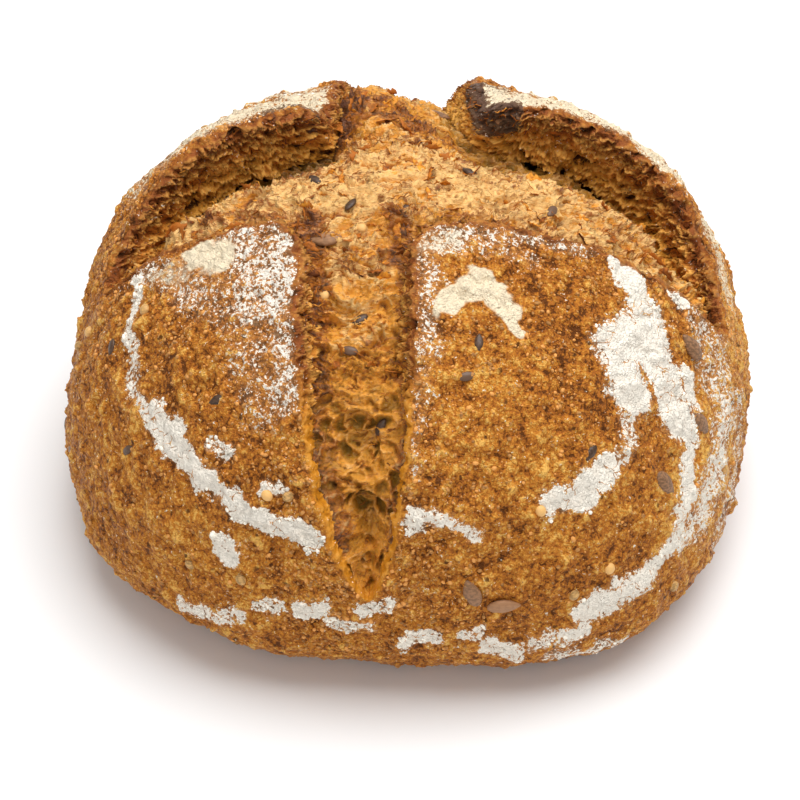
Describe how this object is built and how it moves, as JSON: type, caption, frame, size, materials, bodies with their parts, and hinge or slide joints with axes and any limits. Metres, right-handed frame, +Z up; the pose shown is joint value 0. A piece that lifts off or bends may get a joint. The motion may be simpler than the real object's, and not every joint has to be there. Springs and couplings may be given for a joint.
{
  "type": "multigrain sourdough loaf",
  "caption": "Round rustic loaf with a floured seeded crust, scored with a cross that has burst open to show the crumb.",
  "frame": {"origin": "middle of the loaf's bounding box in plan, on the surface that the loaf stands on", "axes": "+Z up; -Y is the front, the side that the long arm of the cross runs down; +X to the right as seen from the front"},
  "size_m": [0.199, 0.1938, 0.1151],
  "materials": {
    "crust": "matte baked crust",
    "crumb": "matte torn crumb",
    "seed": "satin seed coat",
    "flour": "matte dry flour"
  },
  "bodies": {
    "root": {"loaf": "crust"}
  },
  "joints": []
}
